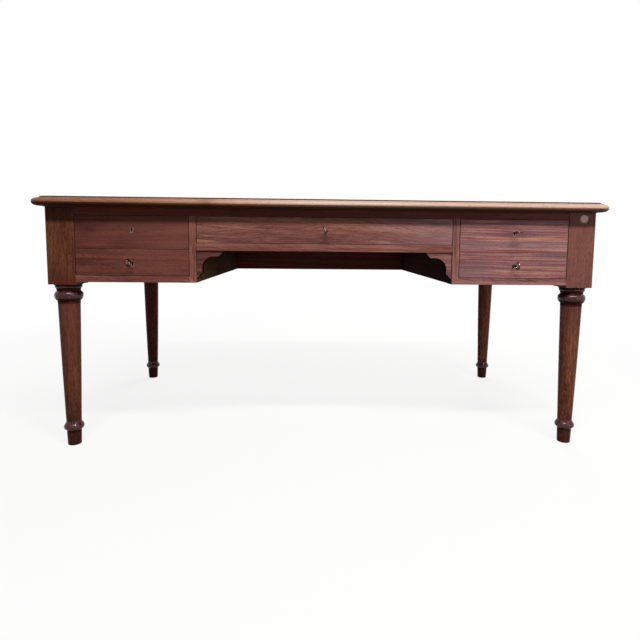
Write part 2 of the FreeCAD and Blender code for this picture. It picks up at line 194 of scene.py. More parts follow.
def addSurroundings():
    world = bpy.data.worlds.new("paleStudio")
    world.use_nodes = True
    world.node_tree.nodes.clear()
    bpy.context.scene.world = world
    fill = addNode(world, "Background", {
        "Color": linearColour(surroundings["fill"]), "Strength": surroundings["fillStrength"]})
    shown = addNode(world, "Background", {"Color": linearColour(surroundings["shown"])})
    mixed = addNode(world, "MixShader", {0: seenRays(world), 1: fill[0], 2: shown[0]})
    addNode(world, "OutputWorld", {"Surface": mixed[0]})
    bpy.ops.mesh.primitive_plane_add(size=metres(surroundings["floorSize"]))
    floor = bpy.context.object
    floor.name = "paleFloor"
    paper = newMaterial("matt pale paper")  # evenly matt, so it holds a soft shadow and no gloss
    seen = seenRays(paper)
    tone = addNode(paper, "Mix", {
        0: seen, 6: linearColour(surroundings["floorBounce"]),
        7: linearColour(surroundings["floor"])}, data_type="RGBA")
    matt = addNode(paper, "BsdfDiffuse", {"Color": tone[2]})
    white = addNode(paper, "Emission", {"Color": linearColour(surroundings["shown"])})
    spot = addNode(paper, "TexCoord")
    far = addNode(paper, "VectorMath", {0: spot["Object"]}, operation="LENGTH")
    reach = [metres(v) for v in surroundings["liftReach"]]
    fade = addNode(paper, "MapRange", {
        "Value": far["Value"], **span("From", reach), **span("To", surroundings["floorLift"])})
    lift = addNode(paper, "Math", {0: seen, 1: fade[0]}, operation="MULTIPLY")
    mixed = addNode(paper, "MixShader", {0: lift[0], 1: matt[0], 2: white[0]})
    addNode(paper, "OutputMaterial", {"Surface": mixed[0]})
    floor.data.materials.append(paper)


for lampName, lamp in lamps.items():
    addLamp(lampName, lamp)
addSurroundings()
print("camera, lamps and floor are set")

# Walnut: open-pored, with wide soft stripes, fine streaks and short dark pores along the grain
walnutGrain = {
    # noise figures as (length along the grain, width across it, detail)
    "wave": (420, 70, 2.0),
    "streak": (90, 2.2, 2.0),  # real ones are under 1 mm, drawn coarser so that they show
    "cloud": (170, 45, 2.0),
    "grit": (6, 1.7, 1.0),  # flecks of late wood between the pores
    "pore": (13, 1.3, 1.0),  # real ones are 0.2 mm wide, drawn coarser so that they show
    "slanted": (70, 3.4, 2.0),
    "slant": 14,  # degrees at which that figure crosses the grain, one way and the other
    "waveShift": 16,
    "stripe": (900, 9),  # length and width of the bands that growth rings make
    "pith": (0, 40, 210),  # from the board to the heart of the tree
    "taper": 0.04,
    # shares of each figure in the light and dark of the board
    "shares": {"stripe": 0.3, "streak": 0.22, "slanted": 0.2, "cloud": 0.18, "grit": 0.1},
    "deep": "#4A1D14",
    "body": "#7A3E2C",
    "light": "#A0634A",
    "cast": "#6A3E44",
    "castShare": 0.3,
    "poreColour": "#2A0F0A",
    "poreShare": 0.5,
    "endShade": 0.55,
    "roughness": 0.46,
    "gloss": 0.1,
    "relief": 0.25,
    "boards": 0,  # width of the boards a panel is glued up from
    "layers": (),  # wax, wear and dirt, and painted light and shade, over the wood, see makeWood
    "seed": 1,
    # where each noise starts and ends: its middle is 0.5, and few values lie past 0.3 and 0.7
    "tones": (0.41, 0.50, 0.60),  # deep, body and light
    "leanEdges": (0.42, 0.58),
    "castEdges": (0.58, 0.40),
    "poreEdges": (0.60, 0.74),
    "streakEdges": (0.3, 0.7),
    "endEdges": (0.75, 0.97),  # how far a face turns to the end of the grain
    "ringNoise": (3.0, 0.55),  # detail and roughness
    "roughSpread": (-0.05, 0.09),
    "reliefDepth": 0.4,
    "heartShift": 12,  # how far the heart may lie off from one piece to the next
    "boardStart": (1, 9),  # metres along the grain
    "boardShift": (1.7, 0.045, 0.061),  # metres from one glued board to the next
}
grainTurn = {"X": (0, 0, 0), "Y": (0, 0, -math.pi / 2), "Z": (0, math.pi / 2, 0)}
grainAxis = {"X": (1, 0, 0), "Y": (0, 1, 0), "Z": (0, 0, 1)}
rampWays = {"x": ("Object", 0), "y": ("Object", 1), "z": ("Object", 2), "lean": ("Normal", 2)}


def drawnNoise(material, ground, figure):
    # noise that is drawn out along the grain
    length, width, detail = figure
    stretch = (1 / metres(length), 1 / metres(width), 1 / metres(width))
    spread = addNode(material, "VectorMath", {0: ground, 1: stretch}, operation="MULTIPLY")
    return addNode(material, "TexNoise", {"Vector": spread[0], "Scale": 1.0, "Detail": detail})


def makeWood(name, along, **changes):
    wood = dict(walnutGrain, **changes)
    material = newMaterial(name)
    chance = random.Random(wood["seed"])
    place = addNode(material, "TexCoord")
    off = wood["heartShift"]
    start = [chance.uniform(*wood["boardStart"])]
    start += [metres(v + chance.uniform(-off, off)) for v in wood["pith"][1:]]
    board = addNode(material, "Mapping", {
        "Vector": place["Object"], "Location": start, "Rotation": grainTurn[along]})["Vector"]
    if wood["boards"]:  # the grain starts anew at each glued joint
        spot = addNode(material, "SeparateXYZ", {0: place["Object"]})
        widths = addNode(material, "Math", {0: spot[1], 1: metres(wood["boards"])},
                         operation="DIVIDE")
        number = addNode(material, "Math", {0: widths[0]}, operation="FLOOR")
        board = addNode(material, "VectorMath", {
            0: number[0], 1: wood["boardShift"], 2: board}, operation="MULTIPLY_ADD")[0]

    # Long slow waves bend the grain
    wave = drawnNoise(material, board, wood["wave"])
    shift = metres(wood["waveShift"])
    bend = addNode(material, "VectorMath", {
        0: wave["Color"], 1: (0, shift, shift), 2: (0, -shift / 2, -shift / 2)},
        operation="MULTIPLY_ADD")
    bent = addNode(material, "VectorMath", {0: board, 1: bend[0]}, operation="ADD")[0]

    # Stretched noise for each figure; one of them crosses the grain at a slant, up and down
    grounds = {"streak": bent, "cloud": bent, "grit": board, "pore": bent}
    for part, sign in (("slantedUp", 1), ("slantedDown", -1)):
        grounds[part] = addNode(material, "Mapping", {
            "Vector": bent, "Rotation": (0, sign * math.radians(wood["slant"]), 0)})["Vector"]
    figure = {}
    for part, ground in grounds.items():
        size = wood["slanted" if part.startswith("slanted") else part]
        figure[part] = drawnNoise(material, ground, size)["Fac"]
    lean = addNode(material, "MapRange", {
        "Value": wave["Fac"], **span("From", wood["leanEdges"])})
    figure["slanted"] = addNode(material, "Mix", {
        0: lean[0], 2: figure["slantedUp"], 3: figure["slantedDown"]}, data_type="FLOAT")[0]

    # Growth rings cut lengthwise show as stripes, and as arcs on the end grain
    heart = addNode(material, "VectorMath", {0: bent, 1: (wood["taper"], 1, 1)},
                    operation="MULTIPLY")
    ring = addNode(material, "VectorMath", {0: heart[0]}, operation="LENGTH")["Value"]
    ringStep = addNode(material, "Math", {0: ring, 1: metres(wood["stripe"][1])},
                       operation="DIVIDE")
    reach = addNode(material, "SeparateXYZ", {0: board})
    reachStep = addNode(material, "Math", {0: reach[0], 1: metres(wood["stripe"][0])},
                        operation="DIVIDE")
    stripeAt = addNode(material, "CombineXYZ", {0: ringStep[0], 1: reachStep[0]})
    detail, rough = wood["ringNoise"]
    figure["stripe"] = addNode(material, "TexNoise", {
        "Vector": stripeAt[0], "Scale": 1.0, "Detail": detail, "Roughness": rough},
        noise_dimensions="2D")["Fac"]

    # Light and dark across the board is the sum of the figures
    shade = 0.0
    for part, share in wood["shares"].items():
        shade = addNode(material, "Math", {0: figure[part], 1: share, 2: shade},
                        operation="MULTIPLY_ADD")[0]
    tones = list(zip(wood["tones"], (wood["deep"], wood["body"], wood["light"])))
    colour = addNode(material, "ValToRGB", {"Fac": shade}, stops=tones)["Color"]
    castMask = addNode(material, "MapRange", {
        "Value": figure["stripe"], **span("From", wood["castEdges"]), "To Max": wood["castShare"]})
    # End grain drinks more polish and is darker
    ends = addNode(material, "VectorMath", {0: place["Normal"], 1: grainAxis[along]},
                   operation="DOT_PRODUCT")["Value"]
    endOn = addNode(material, "Math", {0: ends}, operation="ABSOLUTE")
    endFade = addNode(material, "MapRange", {
        "Value": endOn[0], **span("From", wood["endEdges"]), "To Max": wood["endShade"]})
    over = [(castMask[0], wood["cast"]), (endFade[0], wood["deep"])]  # colours over it, in order

    # Wax, wear and dirt, and painted light and shade: a colour, its share, and where it lies.
    # That is given as ramps from start to end, in mm along x, y or z, or over how far a face
    # leans upwards. A ramp goes from nought to one unless it names two values. Noise shifts it
    # by up to "ragged" mm, or "uneven" of lean.
    for layer in wood["layers"]:
        fade = layer["share"]
        for way, start, end, *values in layer.get("where", ()):
            output, axis = rampWays[way]
            unit = metres(1) if output == "Object" else 1
            loose = layer.get("ragged" if output == "Object" else "uneven", 0) * unit
            spot = addNode(material, "SeparateXYZ", {0: place[output]})
            ragged = addNode(material, "Math", {
                0: figure["cloud"], 1: loose, 2: spot[axis]}, operation="MULTIPLY_ADD")
            mask = addNode(material, "MapRange", {
                "Value": ragged[0], **span("From", (start * unit, end * unit)),
                **span("To", values or (0, 1))})
            fade = addNode(material, "Math", {0: mask[0], 1: fade}, operation="MULTIPLY")[0]
        over.append((fade, layer["colour"]))
    # Open pores stay dark under wear and wax
    poreMask = addNode(material, "MapRange", {
        "Value": figure["pore"], **span("From", wood["poreEdges"])})
    poreFade = addNode(material, "Math", {0: poreMask[0], 1: wood["poreShare"]},
                       operation="MULTIPLY")
    over.append((poreFade[0], wood["poreColour"]))
    for share, hexCode in over:
        colour = addNode(material, "Mix", {0: share, 6: colour, 7: linearColour(hexCode)},
                         data_type="RGBA")[2]

    rough = addNode(material, "MapRange", {
        "Value": figure["streak"], **span("From", wood["streakEdges"]),
        **span("To", [wood["roughness"] + v for v in wood["roughSpread"]])})
    height = addNode(material, "Math", {0: poreMask[0], 1: -1.0, 2: figure["streak"]},
                     operation="MULTIPLY_ADD")
    relief = addNode(material, "Bump", {
        "Height": height[0], "Strength": wood["relief"], "Distance": metres(wood["reliefDepth"])})
    surface = addNode(material, "BsdfPrincipled", {
        "Base Color": colour, "Roughness": rough[0], "Normal": relief[0],
        "Specular IOR Level": wood["gloss"]})
    addNode(material, "OutputMaterial", {"Surface": surface[0]})
    return material


rubbedArrisAndHighlight = {"colour": "#B98468", "share": 0.12}  # bare wood shows as a thin pale line; on upper arrises it is also a painted highlight
darkWaxAndGapShade = {"colour": "#1C0C09", "share": 0.8}  # dirt and wax, with painted shade of the gap, draw each joint as a dark line


def threeWoods(name, along, rubbed=rubbedArrisAndHighlight["share"], **changes):
    # a wood, the same wood a little rubbed for its upper arrises, partly a painted highlight,
    # and the same wood filled with dark wax and painted shade of the gap
    layers = changes.pop("layers", ())
    pale = dict(rubbedArrisAndHighlight, share=rubbed)
    finishes = {"": layers, ", rubbed arris": layers + (pale,),
                ", dark wax in the joint": layers + (darkWaxAndGapShade,)}
    return [makeWood(name + ending, along, layers=films, **changes)
            for ending, films in finishes.items()]


def setMaterials(piece, materials):
    slots = piece.data.materials
    while len(slots) < len(materials):
        slots.append(None)
    for i, material in enumerate(materials):
        slots[i] = material


def joinRecord(piece, body, node):
    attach(piece, body)
    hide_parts(node)


def camelName(*words):
    first, *rest = "_".join(words).split("_")
    return first + "".join(word.capitalize() for word in rest)


def applyPlace(piece):
    selectOnly(piece)
    bpy.ops.object.transform_apply(location=True, rotation=True, scale=True)


def addBlock(name, low, high):
    # a cube at its size and place; it is shaped further before it is a piece
    bpy.ops.mesh.primitive_cube_add(size=1, location=(Vector(low) + Vector(high)) / 2,
                                    scale=Vector(high) - Vector(low))
    piece = bpy.context.object
    piece.name = piece.data.name = name
    applyPlace(piece)
    return piece


# How far a normal leans towards a way: a little, as on a rounded arris, or nearly square on
leansTo, facesTo = 0.3, 0.9
arrisCurve = 0.3  # how far the middle of an arris lies in, as a share of its width
spare = 0.1  # mm by which a place is told from its neighbour


def leaveEdit():
    bpy.ops.object.mode_set(mode="OBJECT")


def editAll(piece):
    selectOnly(piece)
    bpy.ops.object.mode_set(mode="EDIT")
    bpy.ops.mesh.select_all(action="SELECT")


def editSelected(piece, kind, test=lambda *parts: True, sharpness=None):
    # into edit mode with only the faces or edges that pass the test, or of the sharp edges only
    selectOnly(piece)
    bpy.ops.object.mode_set(mode="EDIT")
    bpy.ops.mesh.select_mode(type=kind)
    bpy.ops.mesh.select_all(action="DESELECT")
    if sharpness:
        bpy.ops.mesh.edges_select_sharp(sharpness=math.radians(sharpness))
    leaveEdit()
    mesh = piece.data
    if kind == "FACE":
        for face in mesh.polygons:
            face.select = test(face)
    else:
        for edge in mesh.edges:
            if edge.select or not sharpness:
                edge.select = test(*[mesh.vertices[i].co for i in edge.vertices])
    bpy.ops.object.mode_set(mode="EDIT")


def bevelSharp(piece, width, test=lambda a, b: True, sharpness=30):
    # rounds the sharp edges that pass the test; their faces take the second material
    editSelected(piece, "EDGE", test, sharpness)
    bpy.ops.mesh.bevel(offset=metres(width), segments=2, affect="EDGES", material=1,
                       clamp_overlap=True)
    leaveEdit()


def smoothFinish(piece, angle=35):
    editAll(piece)
    bpy.ops.mesh.normals_make_consistent(inside=False)
    leaveEdit()
    bpy.ops.object.shade_smooth_by_angle(angle=math.radians(angle))
    piece.modifiers.new("evenShading", "WEIGHTED_NORMAL").keep_sharp = True
    bpy.ops.object.modifier_apply(modifier="evenShading")


def combine(piece, other):
    selectOnly(piece)
    modifier = piece.modifiers.new("combine", "BOOLEAN")
    modifier.operation = "UNION"
    modifier.object = other
    modifier.solver = "EXACT"
    bpy.ops.object.modifier_apply(modifier="combine")
    bpy.data.objects.remove(other)


def copyOf(piece, name, move=(0, 0, 0)):
    selectOnly(piece)
    bpy.ops.object.duplicate(linked=False)
    made = bpy.context.object
    made.name = made.data.name = name
    made.location = move
    applyPlace(made)
    return made


mergeWithin = 0.01  # mm
flatWithin = 0.5  # degrees


def nodeCopy(node, name):
    # a merged copy of a solid's mesh, with whole faces instead of loose triangles
    piece = bpy.data.objects.new(name, frame["nodes"][node].data.copy())
    piece.data.name = name
    bpy.context.scene.collection.objects.link(piece)
    editAll(piece)
    bpy.ops.mesh.remove_doubles(threshold=metres(mergeWithin))
    bpy.ops.mesh.dissolve_limited(angle_limit=math.radians(flatWithin))
    leaveEdit()
    return piece


def turnOnLathe(name, profile, around):
    # rings of a turning from its foot up, as (radius, height) in mm, on the Z axis
    radius, height = profile[0]
    bpy.ops.mesh.primitive_circle_add(vertices=around, radius=metres(radius), fill_type="NGON",
                                      location=(0, 0, metres(height)))
    piece = bpy.context.object
    piece.name = piece.data.name = name
    applyPlace(piece)
    editAll(piece)
    for nextRadius, nextHeight in profile[1:]:
        bpy.ops.mesh.extrude_region_move(
            TRANSFORM_OT_translate={"value": (0, 0, metres(nextHeight - height))})
        grow = nextRadius / radius
        bpy.ops.transform.resize(value=(grow, grow, 1), center_override=(0, 0, metres(nextHeight)))
        radius, height = nextRadius, nextHeight
    bpy.ops.mesh.select_all(action="SELECT")
    bpy.ops.mesh.normals_make_consistent(inside=False)
    leaveEdit()
    return piece


# The top: a slab at its widest line, then moulded up and down from there
topShape = {
    "cornerRadius": 50,
    "cornerSegments": 14,
    "tipHeight": 12,
    "tipFlat": 0.6,
    "ovolo": {"run": 22, "tipShare": 0.68},
    "stepHeight": 3.4,
    "stepArris": 0.3,
    "underRound": {"run": 13, "rise": 10.4, "tipShare": 0.6},
    "underFlat": 27,  # where the flat underside ends, from the tip
    "underStep": 1.2,
    "dullBelow": -0.3,  # lean of the face from which the dull underside, with its painted shade, starts
    "levelFace": 0.999,  # lean of the flat top's face
    "curveSteps": 9,
    "boardWidth": 178,
}


def quarterOval(run, rise, tipShare, steps):
    # places along a quarter oval as (inward, away) from its tip: a quick arc, then a slow one
    quick = rise * tipShare
    slow = ((run - quick) ** 2 + rise ** 2 - quick ** 2) / (2 * (rise - quick))
    swing = math.atan2(slow - rise, run - quick)
    rest = math.pi / 2 - swing
    places = [(0, 0)]
    for i in range(1, steps + 1):
        angle = swing * i / steps
        places.append((quick * (1 - math.cos(angle)), quick * math.sin(angle)))
    for i in range(1, steps + 1):
        angle = rest * (1 - i / steps)
        places.append((run - slow * math.sin(angle), rise - slow * (1 - math.cos(angle))))
    return places


def insetAlong(places):
    # insets the selected face by each step of a run of (inward, away) places in mm
    for (inward, away), (nextInward, nextAway) in zip(places, places[1:]):
        bpy.ops.mesh.inset(thickness=metres(nextInward - inward), depth=metres(nextAway - away),
                           use_even_offset=True)


def makeTop():
    shape = topShape
    low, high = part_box("desk_top")
    tip = low.z + metres(shape["tipHeight"])
    half = metres(shape["tipFlat"]) / 2
    piece = addBlock("deskTop", (low.x, low.y, tip - half), (high.x, high.y, tip + half))
    editSelected(piece, "EDGE", lambda a, b: abs(a.z - b.z) > half)
    bpy.ops.mesh.bevel(offset=metres(shape["cornerRadius"]), segments=shape["cornerSegments"],
                       affect="EDGES")
    leaveEdit()
    editSelected(piece, "FACE", lambda face: face.normal.z > facesTo)
    ovolo, arris = shape["ovolo"], shape["stepArris"]
    rise = millimetres(high.z - tip) - shape["stepHeight"] - shape["tipFlat"] / 2
    insetAlong(quarterOval(ovolo["run"], rise, ovolo["tipShare"], shape["curveSteps"]))
    bpy.ops.mesh.extrude_region_move(
        TRANSFORM_OT_translate={"value": (0, 0, metres(shape["stepHeight"] - arris))})
    insetAlong([(0, 0), (arris * arrisCurve, arris * (1 - arrisCurve)), (arris, arris)])
    leaveEdit()
    # Below the tip: a small round, a flat underside, then a step down to what lies on the case
    editSelected(piece, "FACE", lambda face: face.normal.z < -facesTo)
    fall = millimetres(tip - low.z) - shape["tipFlat"] / 2
    under = shape["underRound"]
    places = quarterOval(under["run"], under["rise"], under["tipShare"], shape["curveSteps"])
    flatEnd = shape["underFlat"]
    insetAlong(places + [(flatEnd, under["rise"]), (flatEnd + shape["underStep"], fall)])
    leaveEdit()
    flat = makeWood("walnut boards, old wax worn thin", "X", boards=shape["boardWidth"], **topWood)
    woods = [makeWood(name, "X", **dict(topWood, **look)) for name, look in (
        ("walnut moulding, rubbed pale by sleeves", noseWood),
        ("walnut step, dark wax in its corner", stepWood),
        ("walnut underside, dull dark wax", underWood))]
    setMaterials(piece, [woods[0], flat, woods[1], woods[2]])
    stepFoot = high.z - metres(shape["stepHeight"] + spare)
    underEdge = low.z + metres(fall - under["rise"] - spare)
    for face in piece.data.polygons:
        onStep = face.center.z > stepFoot or face.center.z < underEdge
        upright = abs(face.normal.z) < facesTo and onStep
        face.material_index = 1 if face.normal.z > shape["levelFace"] else 2 if upright else 0
        if face.normal.z < shape["dullBelow"] and not upright:
            face.material_index = 3
    smoothFinish(piece, angle=25)
    joinRecord(piece, "root", "desk_top")


topWood = {  # waxed for years and bleached by daylight: warm mid brown with a soft shine
    "deep": "#5E3222", "body": "#8E5A42", "light": "#B07E60", "cast": "#7C5248", "castShare": 0.2,
    "stripe": (900, 7), "pith": (0, 0, 160), "roughness": 0.4, "gloss": 0.5, "seed": 3,
}
noseWood = {  # the moulding all round: brown at the ends and back, nearly bare in the middle; its pale front is partly a painted highlight
    "deep": "#5A3625", "body": "#7A4E38", "light": "#966A50", "cast": "#64423A", "castShare": 0.25,
    "stripe": (900, 4), "roughness": 0.42, "gloss": 0.14, "relief": 0.15, "layers": (
        # towards the left end the wear has only reached warm fresh wood; this layer, stronger on
        # the lower faces, is also painted light
        {"colour": "#DDA07C", "share": 0.52, "ragged": 120, "where": (
            ("x", -640, -200), ("y", -160, -260), ("lean", -0.5, 0.0, 1.7, 1))},
        # a bare pale middle where arms have rubbed for years, most at the tip; it is also a painted
        # highlight
        {"colour": "#E4D0C0", "share": 0.56, "ragged": 160, "where": (
            ("x", -330, 10), ("x", 250, 520, 1, 0.62), ("y", -160, -260))},
        # the same wear, and painted highlight, over pinker wood towards the right end
        {"colour": "#DCC6C0", "share": 0.16, "ragged": 120, "where": (
            ("x", 340, 520), ("y", -160, -260))},
        # below the tip the old red wax is not rubbed away
        {"colour": "#93452E", "share": 0.5, "where": (("y", -160, -260), ("lean", -0.1, -0.5))},
        # a dark knot left of the middle
        {"colour": "#3A2018", "share": 0.35, "ragged": 30, "where": (
            ("x", -365, -335), ("x", -295, -325))},
        # darker where the moulding faces upwards, along its upper edge
        {"colour": "#4A2C1C", "share": 0.4, "uneven": 0.3, "where": (("lean", 0.6, 1.1),)},
        # painted shade: no light reaches the underside, so it is painted near black
        {"colour": "#2A130D", "share": 0.92, "where": (("lean", -0.5, -0.95),)},
    ),
}
underWood = dict(noseWood, gloss=0.02, roughness=0.6)  # quite dull, and black-brown from the painted shade it shares with the moulding
# the upright faces of the step round the flat top, and of the step under the tip, are near black,
# which draws a dark line at each
stepWood = {"deep": "#24120C", "body": "#3C2218", "light": "#5A3828", "cast": "#2E1814",
            "gloss": 0.1, "seed": 4}
makeTop()
print("top moulded")

# Legs: a square post over a turning of cove, ring, fillet, taper, low ring and foot
legShape = {
    "around": 56,
    "postArris": 2,
    "postFootArris": 0.8,
    "overlap": 3,
    # rings of the turning as radius and height, from the top down
    "flange": (40.2, 502),
    "flangeFoot": (39.4, 499),
    "throat": (36.5, 496.8),
    "bead": (37.9, 493.6),
    "beadFoot": (36, 490.4),
    "neck": (33.2, 483.5),
    "neckFoot": (33.2, 480.4),
    "torus": (40.3, 468),
    "fillet": (31.6, 451),
    "taperTop": (31.1, 443),
    "taperFoot": (21.6, 77),
    "cove": (25.8, 66),
    "ring": (29, 57),
    "foot": (21.2, 48),
    "soleRadius": 19.4,
    "footArris": 1.5,
    "filletArris": 0.3,
    "swell": 0.5,  # how much fuller the taper is in its middle
    "taperSteps": 9,
    "curveSteps": 7,
    "beadSteps": 4,
    "hollows": ((443, 459), (480.5, 490.4), (495.8, 502)),  # heights where old wax stays and shade is painted
}


def arcPlaces(start, end, standing, steps):
    # places after start on an arc of a turning; it runs upright at standing, one of its ends
    other = end if standing == start else start
    across, along = other[0] - standing[0], other[1] - standing[1]
    radius = (across ** 2 + along ** 2) / (2 * abs(across))
    middle = (standing[0] + math.copysign(radius, across), standing[1])
    first = math.atan2(start[1] - middle[1], start[0] - middle[0])
    turn = math.remainder(math.atan2(end[1] - middle[1], end[0] - middle[0]) - first, 2 * math.pi)
    angles = [first + turn * i / steps for i in range(1, steps + 1)]
    return [(middle[0] + radius * math.cos(a), middle[1] + radius * math.sin(a)) for a in angles]


def legProfile():
    shape = legShape
    steps, few, pieces = shape["curveSteps"], shape["beadSteps"], shape["taperSteps"]
    foot, ring, cove, taperFoot, taperTop = (
        shape[key] for key in ("foot", "ring", "cove", "taperFoot", "taperTop"))
    fillet, torus, neck, beadFoot, bead = (
        shape[key] for key in ("fillet", "torus", "neck", "beadFoot", "bead"))
    sole, arris = shape["soleRadius"], shape["footArris"]
    curve = arris * arrisCurve
    places = [(sole - arris, 0), (sole - curve, curve), (sole, arris), foot]
    places += arcPlaces(foot, ring, ring, steps) + arcPlaces(ring, cove, ring, steps)
    places += arcPlaces(cove, taperFoot, taperFoot, steps)
    for i in range(1, pieces):
        share = i / pieces
        swell = shape["swell"] * math.sin(math.pi * share)
        places.append((taperFoot[0] + (taperTop[0] - taperFoot[0]) * share + swell,
                       taperFoot[1] + (taperTop[1] - taperFoot[1]) * share))
    places += [taperTop, (fillet[0], taperTop[1] + shape["filletArris"]), fillet]
    places += arcPlaces(fillet, torus, torus, steps + 2)
    places += arcPlaces(torus, shape["neckFoot"], torus, steps) + [neck]
    places += arcPlaces(neck, beadFoot, neck, few + 1)
    places += arcPlaces(beadFoot, bead, bead, few) + arcPlaces(bead, shape["throat"], bead, few)
    flange = shape["flange"]
    return places + [shape["flangeFoot"], (flange[0], flange[1] + shape["overlap"])]


def makeLegs():
    shape = legShape
    low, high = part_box("leg_front_left")
    middle = (low + high) / 2
    turning = turnOnLathe("turning", legProfile(), shape["around"])
    turning.location = (middle.x, middle.y, 0)
    applyPlace(turning)
    foot = metres(shape["flange"][1])
    post = addBlock("post", (low.x, low.y, foot), high)
    setMaterials(post, [None, None, None])
    editSelected(post, "EDGE", lambda a, b: abs(a.z - b.z) > metres(spare))
    bpy.ops.mesh.bevel(offset=metres(shape["postArris"]), segments=3, affect="EDGES", material=1)
    leaveEdit()
    bevelSharp(post, shape["postFootArris"], lambda a, b: max(a.z, b.z) < foot + metres(spare),
               sharpness=60)
    setMaterials(turning, [None, None, None])
    combine(post, turning)
    rings = [[shape[key][1] for key in keys]
             for keys in (("foot", "taperFoot"), ("taperTop", "flange"))]
    for face in post.data.polygons:
        height = millimetres(face.center.z)
        if any(start < height < end for start, end in rings):
            hollow = any(start < height < end for start, end in shape["hollows"])
            face.material_index = 4 if hollow else 2
    smoothFinish(post, angle=28)
    for i, (node, tones) in enumerate(legTones.items()):
        name = camelName(node)
        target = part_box(node)[0]
        piece = copyOf(post, name, target - low)
        look = dict(legWood, seed=legWood["seed"] + i, layers=legFilms.get(node, ()) + (footShade,))
        look.update(zip(("deep", "body", "light", "cast"), tones))
        wood = threeWoods("turned walnut, " + name, "Z", **look)
        polish = makeWood("french-polished walnut ring, " + name, "Z", **dict(look, **ringWood))
        hollow = makeWood("walnut hollow above the ring, old wax, " + name, "Z",
                          **dict(look, **hollowWaxAndShade))
        setMaterials(piece, [wood[0], wood[1], polish, wood[2], hollow])
        inward = -math.copysign(1, target.x)
        for face in piece.data.polygons:  # dark wax and painted gap shade in the joint with the rails
            joint = face.normal.x * inward > leansTo and face.normal.y < -leansTo
            if face.material_index == 1 and joint:
                face.material_index = 3
        joinRecord(piece, "root", node)
    bpy.data.objects.remove(post)


legWood = {  # quartered walnut under thin wax: short freckled grain, hardly any shine
    "stripe": (600, 5), "pith": (0, 0, 90), "waveShift": 22, "taper": 0.07, "gloss": 0.05,
    "streak": (60, 2.4, 2.0), "cloud": (120, 26, 2.0), "grit": (14, 3.4, 2.0), "poreShare": 0.7,
    "shares": {"stripe": 0.12, "streak": 0.2, "slanted": 0.14, "cloud": 0.26, "grit": 0.28},
    "seed": 20,
}
footShade = {  # painted shade: the legs darken towards the floor, where less light falls
    "colour": "#2C1513", "share": 0.7, "ragged": 60, "where": (("z", 138, 78),)}
legTones = {  # deep, body, light and cast; the right-hand legs are lighter, partly painted light from the right
    "leg_front_left": ("#402214", "#653926", "#804D34", "#543024"),
    "leg_front_right": ("#4E2618", "#784630", "#9C6246", "#5E3830"),
    "leg_back_left": ("#421E14", "#643424", "#804834", "#4E2828"),
    "leg_back_right": ("#52291C", "#804A38", "#A0654C", "#683C34"),
}
legFilms = {  # what time has left on the two front legs: pinker fading, redder wax; and a darker head, painted shade under the top
    "leg_front_left": (
        {"colour": "#6A3A38", "share": 0.45, "ragged": 90, "where": (
            ("z", 190, 360), ("z", 520, 500))},
        {"colour": "#562A20", "share": 0.7, "ragged": 40, "where": (
            ("z", 575, 530), ("z", 490, 500))},
        # painted shade at the head of the post, under the top's overhang
        {"colour": "#4C2C36", "share": 0.5, "ragged": 10, "where": (("z", 712, 722),)}),
    "leg_front_right": (
        {"colour": "#7A504C", "share": 0.62, "ragged": 60, "where": (("z", 490, 520),)},
        {"colour": "#5A3432", "share": 0.6, "ragged": 60, "where": (
            ("z", 370, 420), ("z", 500, 470))}),
}
ringWood = {  # darker from built-up polish, so it mirrors the lamp
    "deep": "#280E12", "body": "#481F26", "light": "#643238", "cast": "#3A1820", "poreShare": 0.25,
    "roughness": 0.2, "gloss": 0.26, "relief": 0.06, "layers": (
        {"colour": "#6A342C", "share": 0.2, "where": (("z", 120, 90),)},),
}
hollowWaxAndShade = {  # wax gathers here and no cloth reaches it, so it is dull; it is also painted darker, painted shade in these hollows under the ring and the post
    "deep": "#22100E", "body": "#3E1C1A", "light": "#582E2A", "cast": "#301618", "poreShare": 0.25,
    "roughness": 0.5, "gloss": 0.03, "relief": 0.1, "layers": (),
}
makeLegs()
print("legs turned")

# The frame: rails, dividers, boards and brackets, each a softened copy with its own grain

# faded by daylight: light tan, with little red left
walnutTan = {"deep": "#603227", "body": "#885343", "light": "#A36E5A", "cast": "#784849"}
# out of the sun, so the old red wax still shows
walnutRed = {"deep": "#431C15", "body": "#65352A", "light": "#7E4B3E", "cast": "#553132"}
# from a pinker tree, and the most faded; paler and pinker also as a painted sheen from the right
walnutPink = {"deep": "#5C3330", "body": "#855750", "light": "#A47466", "cast": "#6E5059",
              "castShare": 0.5}
# the back, never cleaned: nearly black
walnutDark = {"deep": "#2C100C", "body": "#552218", "light": "#70382A", "cast": "#3A1A1C"}
litKneeholePatch = {  # painted light: a paler patch low down and in front, where light from the right falls into the kneehole
    "colour": "#8A7440", "share": 0.5, "ragged": 40, "where": (("z", 590, 540), ("y", -60, -300))}
# inner boards that were never waxed: dry, they give no shine; their near-black tone is partly
# painted shade of the kneehole
walnutOlive = {"deep": "#1E120A", "body": "#362010", "light": "#4C321C", "cast": "#281810",
               "gloss": 0.02, "roughness": 0.8, "layers": (litKneeholePatch,)}
walnutUmber = {"deep": "#180A06", "body": "#2C140E", "light": "#402218", "cast": "#220E0E",
               "gloss": 0.02, "roughness": 0.8}
